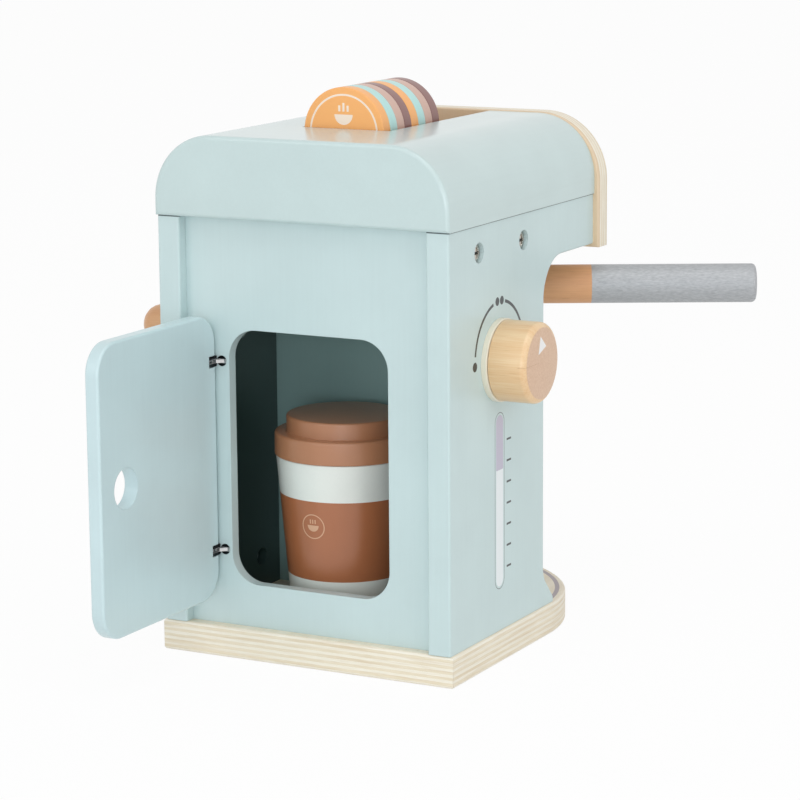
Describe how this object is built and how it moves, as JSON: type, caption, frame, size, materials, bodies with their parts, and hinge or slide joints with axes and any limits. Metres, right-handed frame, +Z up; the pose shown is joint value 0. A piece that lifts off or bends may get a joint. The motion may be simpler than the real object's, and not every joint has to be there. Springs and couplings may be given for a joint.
{
  "type": "toy coffee maker",
  "caption": "Wooden toy coffee maker seen from behind: mint case on a plywood base, back door, takeaway cup, side knobs, filter handle and capsules in the top slot.",
  "frame": {"origin": "middle of the base board's underside, halfway along its length", "axes": "+Z up, the front with the arched panel faces -Y, the back with its door faces +Y, the dial knob is at -X"},
  "size_m": [0.2612, 0.3018, 0.2656],
  "materials": {
    "plywood": "clear lacquered plywood with its plies showing on the edge",
    "beech": "clear lacquered beech",
    "mint_paint": "satin mint paint on wood",
    "ivory_paint": "satin ivory paint on wood",
    "steel_paint": "silver paint on wood",
    "cup_paint": "white and brown gloss paint on wood",
    "brown_paint": "satin brown paint on wood",
    "steel": "zinc plated steel",
    "orange_capsule": "satin orange paint on wood",
    "mint_capsule": "satin mint paint on wood",
    "beige_capsule": "satin beige paint on wood",
    "brown_capsule": "satin brown paint on wood"
  },
  "bodies": {
    "case": {"base_board": "plywood", "left_side_panel": "mint_paint", "right_side_panel": "mint_paint", "back_panel": "mint_paint", "front_wall": "mint_paint", "head_deck": "mint_paint", "top_cover": "mint_paint", "front_panel": "plywood", "dial_knob_washer": "ivory_paint", "group_head": "mint_paint", "filter_pivot_bolt": "steel", "upper_hinge_panel_half": "steel", "lower_hinge_panel_half": "steel", "upper_hinge_pin": "steel", "lower_hinge_pin": "steel", "left_side_screws": "steel", "right_side_screws": "steel", "base_screws": "steel", "cover_dowels": "beech", "front_panel_dowels": "beech"},
    "door": {"door": "mint_paint", "upper_hinge_door_half": "steel", "lower_hinge_door_half": "steel"},
    "dial_knob": {"dial_knob": "beech", "dial_knob_screw": "steel"},
    "peg_knob": {"peg_knob": "beech", "peg_knob_screw": "steel"},
    "filter": {"filter_holder": "steel_paint", "filter_handle": "beech"},
    "cup": {"cup_body": "cup_paint"},
    "lid": {"cup_lid": "brown_paint"},
    "capsule_1_orange": {"capsule_1_orange": "orange_capsule"},
    "capsule_2_mint": {"capsule_2_mint": "mint_capsule"},
    "capsule_3_beige": {"capsule_3_beige": "beige_capsule"},
    "capsule_4_brown": {"capsule_4_brown": "brown_capsule"},
    "capsule_5_orange": {"capsule_5_orange": "orange_capsule"},
    "capsule_6_mint": {"capsule_6_mint": "mint_capsule"},
    "capsule_7_beige": {"capsule_7_beige": "beige_capsule"},
    "capsule_8_brown": {"capsule_8_brown": "brown_capsule"}
  },
  "joints": [
    {"name": "door_hinge", "type": "hinge", "parent": "case", "child": "door", "pos_m": [0.0489, 0.0863, 0.096], "axis": [0, 0, -1], "range_deg": [-90.5, 9.5]},
    {"name": "dial_turn", "type": "hinge", "parent": "case", "child": "dial_knob", "pos_m": [-0.0786, 0.0395, 0.1436], "axis": [-1, 0, 0], "continuous": true},
    {"name": "peg_turn", "type": "hinge", "parent": "case", "child": "peg_knob", "pos_m": [0.0758, 0.0395, 0.147], "axis": [1, 0, 0], "continuous": true},
    {"name": "filter_swing", "type": "hinge", "parent": "case", "child": "filter", "pos_m": [0, -0.0364, 0.163], "axis": [0, 0, -1], "range_deg": [-150, 25]},
    {"name": "cup_lift", "type": "slide", "parent": "case", "child": "cup", "axis": [0, 0, 1], "range_m": [0, 0.025]},
    {"name": "lid_lift", "type": "slide", "parent": "cup", "child": "lid", "axis": [0, 0, 1], "range_m": [0, 0.03]},
    {"name": "capsule_1_orange_lift", "type": "slide", "parent": "case", "child": "capsule_1_orange", "axis": [0, 0, 1], "range_m": [0, 0.06]},
    {"name": "capsule_2_mint_lift", "type": "slide", "parent": "case", "child": "capsule_2_mint", "axis": [0, 0, 1], "range_m": [0, 0.06]},
    {"name": "capsule_3_beige_lift", "type": "slide", "parent": "case", "child": "capsule_3_beige", "axis": [0, 0, 1], "range_m": [0, 0.06]},
    {"name": "capsule_4_brown_lift", "type": "slide", "parent": "case", "child": "capsule_4_brown", "axis": [0, 0, 1], "range_m": [0, 0.06]},
    {"name": "capsule_5_orange_lift", "type": "slide", "parent": "case", "child": "capsule_5_orange", "axis": [0, 0, 1], "range_m": [0, 0.06]},
    {"name": "capsule_6_mint_lift", "type": "slide", "parent": "case", "child": "capsule_6_mint", "axis": [0, 0, 1], "range_m": [0, 0.06]},
    {"name": "capsule_7_beige_lift", "type": "slide", "parent": "case", "child": "capsule_7_beige", "axis": [0, 0, 1], "range_m": [0, 0.06]},
    {"name": "capsule_8_brown_lift", "type": "slide", "parent": "case", "child": "capsule_8_brown", "axis": [0, 0, 1], "range_m": [0, 0.06]}
  ]
}
